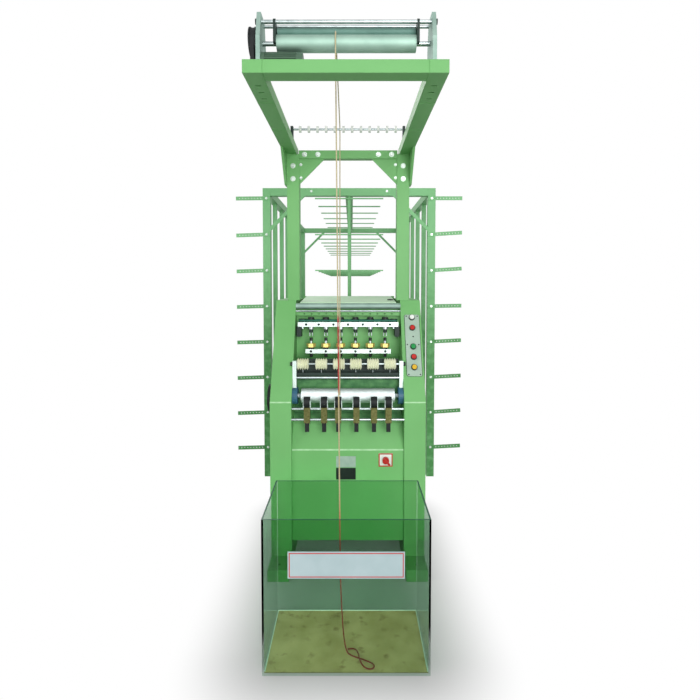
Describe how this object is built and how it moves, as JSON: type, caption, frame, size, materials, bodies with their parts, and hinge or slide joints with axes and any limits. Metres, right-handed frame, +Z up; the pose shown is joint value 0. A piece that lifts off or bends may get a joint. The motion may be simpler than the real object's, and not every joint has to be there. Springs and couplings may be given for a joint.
{
  "type": "cord knitting machine",
  "caption": "Upright cord knitting machine with slanted green side frames, head row, overhead take-up gantry, yarn creel behind and clear collecting bin in front.",
  "frame": {"origin": "floor level under the middle of the whole outline", "axes": "+Z up, +Y from the operator side towards the creel, +X to the operator's right"},
  "size_m": [1.496, 4.09, 2.219],
  "materials": {
    "green_enamel": "gloss paint",
    "creel_enamel": "gloss paint",
    "deck_paint": "satin paint",
    "bright_steel": "polished",
    "aluminium": "satin",
    "black_parts": "black oxide",
    "dark_green": "satin paint",
    "brass": "polished",
    "cream_plastic": "satin",
    "ceramic": "glazed",
    "blue_casting": "gloss paint",
    "belt_rubber": "matt",
    "black_rubber": "matt",
    "bronze_weight": "worn",
    "panel_grey": "satin",
    "clear_acrylic": "clear",
    "tan_board": "matt",
    "sign_white": "satin",
    "red_plastic": "gloss",
    "green_plastic": "gloss",
    "yellow_plastic": "gloss",
    "white_plastic": "gloss",
    "motor_grey": "satin paint",
    "knit_cord": "knitted"
  },
  "bodies": {
    "machine": {"left_side_frame": "green_enamel", "right_side_frame": "green_enamel", "front_cover": "green_enamel", "inner_and_rear_panels": "green_enamel", "top_deck": "deck_paint", "main_motor_base": "motor_grey", "columns": "green_enamel", "gantry_arms": "green_enamel", "gantry_beams": "green_enamel", "frame_bolts": "bright_steel", "take_up_plates": "aluminium", "take_up_motor": "motor_grey", "take_up_belt": "black_rubber", "guide_rings": "ceramic", "head_bars": "aluminium", "drive_belt": "belt_rubber", "needle_cylinders": "bright_steel", "brass_rings": "brass", "dark_brackets": "dark_green", "eyelet_board": "black_parts", "roller_arms": "aluminium", "bearing_housings": "blue_casting", "steel_rods": "bright_steel", "control_panel": "panel_grey", "panel_lamp": "white_plastic", "switch_plate": "sign_white", "name_plates": "black_parts", "creel_posts": "creel_enamel", "creel_rails": "creel_enamel", "creel_guide_arms": "creel_enamel", "creel_pegs": "creel_enamel", "collecting_bin": "clear_acrylic", "bin_bottom_sheet": "tan_board", "sign_plate": "sign_white", "riser_cord": "knit_cord", "hanging_cord": "knit_cord"},
    "main_drive": {"handwheel_shaft": "black_parts"},
    "feed": {"feed_roller": "aluminium"},
    "grooved": {"grooved_rollers": "cream_plastic", "groove_shaft": "bright_steel"},
    "take_up": {"take_up_roller": "aluminium"},
    "nip": {"nip_roller": "bright_steel"},
    "pinion": {"motor_pinion": "aluminium"},
    "red_cap": {"red_button": "red_plastic"},
    "green_cap": {"green_button": "green_plastic"},
    "stop_cap": {"stop_button": "red_plastic"},
    "yellow_cap": {"yellow_button": "yellow_plastic"},
    "knob": {"switch_knob": "red_plastic"},
    "head_1": {"flyer_head_1": "bright_steel"},
    "lever_1": {"press_lever_1": "bronze_weight"},
    "head_2": {"flyer_head_2": "bright_steel"},
    "lever_2": {"press_lever_2": "bronze_weight"},
    "head_3": {"flyer_head_3": "bright_steel"},
    "lever_3": {"press_lever_3": "bronze_weight"},
    "head_4": {"flyer_head_4": "bright_steel"},
    "lever_4": {"press_lever_4": "bronze_weight"},
    "head_5": {"flyer_head_5": "bright_steel"},
    "lever_5": {"press_lever_5": "bronze_weight"},
    "head_6": {"flyer_head_6": "bright_steel"},
    "lever_6": {"press_lever_6": "bronze_weight"}
  },
  "joints": [
    {"name": "main_spin", "type": "hinge", "parent": "machine", "child": "main_drive", "pos_m": [0, -1.19, 0.748], "axis": [1, 0, 0], "continuous": true},
    {"name": "feed_spin", "type": "hinge", "parent": "machine", "child": "feed", "pos_m": [0, -1.295, 0.783], "axis": [1, 0, 0], "continuous": true},
    {"name": "head_1_spin", "type": "hinge", "parent": "machine", "child": "head_1", "pos_m": [-0.18, -1.185, 1.096], "axis": [0, 0, 1], "continuous": true},
    {"name": "head_2_spin", "type": "hinge", "parent": "machine", "child": "head_2", "pos_m": [-0.108, -1.185, 1.096], "axis": [0, 0, 1], "continuous": true},
    {"name": "head_3_spin", "type": "hinge", "parent": "machine", "child": "head_3", "pos_m": [-0.036, -1.185, 1.096], "axis": [0, 0, 1], "continuous": true},
    {"name": "head_4_spin", "type": "hinge", "parent": "machine", "child": "head_4", "pos_m": [0.036, -1.185, 1.096], "axis": [0, 0, 1], "continuous": true},
    {"name": "head_5_spin", "type": "hinge", "parent": "machine", "child": "head_5", "pos_m": [0.108, -1.185, 1.096], "axis": [0, 0, 1], "continuous": true},
    {"name": "head_6_spin", "type": "hinge", "parent": "machine", "child": "head_6", "pos_m": [0.18, -1.185, 1.096], "axis": [0, 0, 1], "continuous": true},
    {"name": "groove_spin", "type": "hinge", "parent": "machine", "child": "grooved", "pos_m": [0, -1.289, 0.93], "axis": [1, 0, 0], "continuous": true},
    {"name": "lever_1_swing", "type": "hinge", "parent": "machine", "child": "lever_1", "pos_m": [-0.18574, -1.35077, 0.685], "axis": [1, 0, 0], "range_deg": [0, 40], "stiffness_Nm_per_rad": 1.2, "springref_deg": -34.38},
    {"name": "lever_2_swing", "type": "hinge", "parent": "machine", "child": "lever_2", "pos_m": [-0.10804, -1.35077, 0.685], "axis": [1, 0, 0], "range_deg": [0, 40], "stiffness_Nm_per_rad": 1.2, "springref_deg": -34.38},
    {"name": "lever_3_swing", "type": "hinge", "parent": "machine", "child": "lever_3", "pos_m": [-0.04366, -1.35077, 0.685], "axis": [1, 0, 0], "range_deg": [0, 40], "stiffness_Nm_per_rad": 1.2, "springref_deg": -34.38},
    {"name": "lever_4_swing", "type": "hinge", "parent": "machine", "child": "lever_4", "pos_m": [0.03922, -1.35077, 0.685], "axis": [1, 0, 0], "range_deg": [0, 40], "stiffness_Nm_per_rad": 1.2, "springref_deg": -34.38},
    {"name": "lever_5_swing", "type": "hinge", "parent": "machine", "child": "lever_5", "pos_m": [0.11914, -1.35077, 0.685], "axis": [1, 0, 0], "range_deg": [0, 40], "stiffness_Nm_per_rad": 1.2, "springref_deg": -34.38},
    {"name": "lever_6_swing", "type": "hinge", "parent": "machine", "child": "lever_6", "pos_m": [0.185, -1.35077, 0.685], "axis": [1, 0, 0], "range_deg": [0, 40], "stiffness_Nm_per_rad": 1.2, "springref_deg": -34.38},
    {"name": "take_up_spin", "type": "hinge", "parent": "machine", "child": "take_up", "pos_m": [0, -1.825, 2.13], "axis": [1, 0, 0], "continuous": true},
    {"name": "nip_spin", "type": "hinge", "parent": "machine", "child": "nip", "pos_m": [0, -1.81409, 2.17561], "axis": [1, 0, 0], "continuous": true},
    {"name": "pinion_spin", "type": "hinge", "parent": "machine", "child": "pinion", "pos_m": [0, -1.835, 2.05], "axis": [1, 0, 0], "continuous": true},
    {"name": "red_push", "type": "slide", "parent": "machine", "child": "red_cap", "axis": [0, 0.9041, -0.4274], "range_m": [0, 0.004], "stiffness_N_per_m": 400, "springref_m": -0.002},
    {"name": "green_push", "type": "slide", "parent": "machine", "child": "green_cap", "axis": [0, 0.9041, -0.4274], "range_m": [0, 0.004], "stiffness_N_per_m": 400, "springref_m": -0.002},
    {"name": "stop_push", "type": "slide", "parent": "machine", "child": "stop_cap", "axis": [0, 0.9041, -0.4274], "range_m": [0, 0.004], "stiffness_N_per_m": 400, "springref_m": -0.002},
    {"name": "yellow_push", "type": "slide", "parent": "machine", "child": "yellow_cap", "axis": [0, 0.9041, -0.4274], "range_m": [0, 0.004], "stiffness_N_per_m": 400, "springref_m": -0.002},
    {"name": "switch_turn", "type": "hinge", "parent": "machine", "child": "knob", "pos_m": [0.173, -1.343, 0.497], "axis": [0, 1, 0], "range_deg": [-90, 0]}
  ],
  "couplings": [
    {"joint": "head_1_spin", "follows": "main_spin", "ratio": 3},
    {"joint": "head_2_spin", "follows": "main_spin", "ratio": 3},
    {"joint": "head_3_spin", "follows": "main_spin", "ratio": 3},
    {"joint": "head_4_spin", "follows": "main_spin", "ratio": 3},
    {"joint": "head_5_spin", "follows": "main_spin", "ratio": 3},
    {"joint": "head_6_spin", "follows": "main_spin", "ratio": 3},
    {"joint": "feed_spin", "follows": "main_spin", "ratio": 0.2},
    {"joint": "nip_spin", "follows": "take_up_spin", "ratio": -2.1923},
    {"joint": "pinion_spin", "follows": "take_up_spin", "ratio": 2.0909}
  ]
}
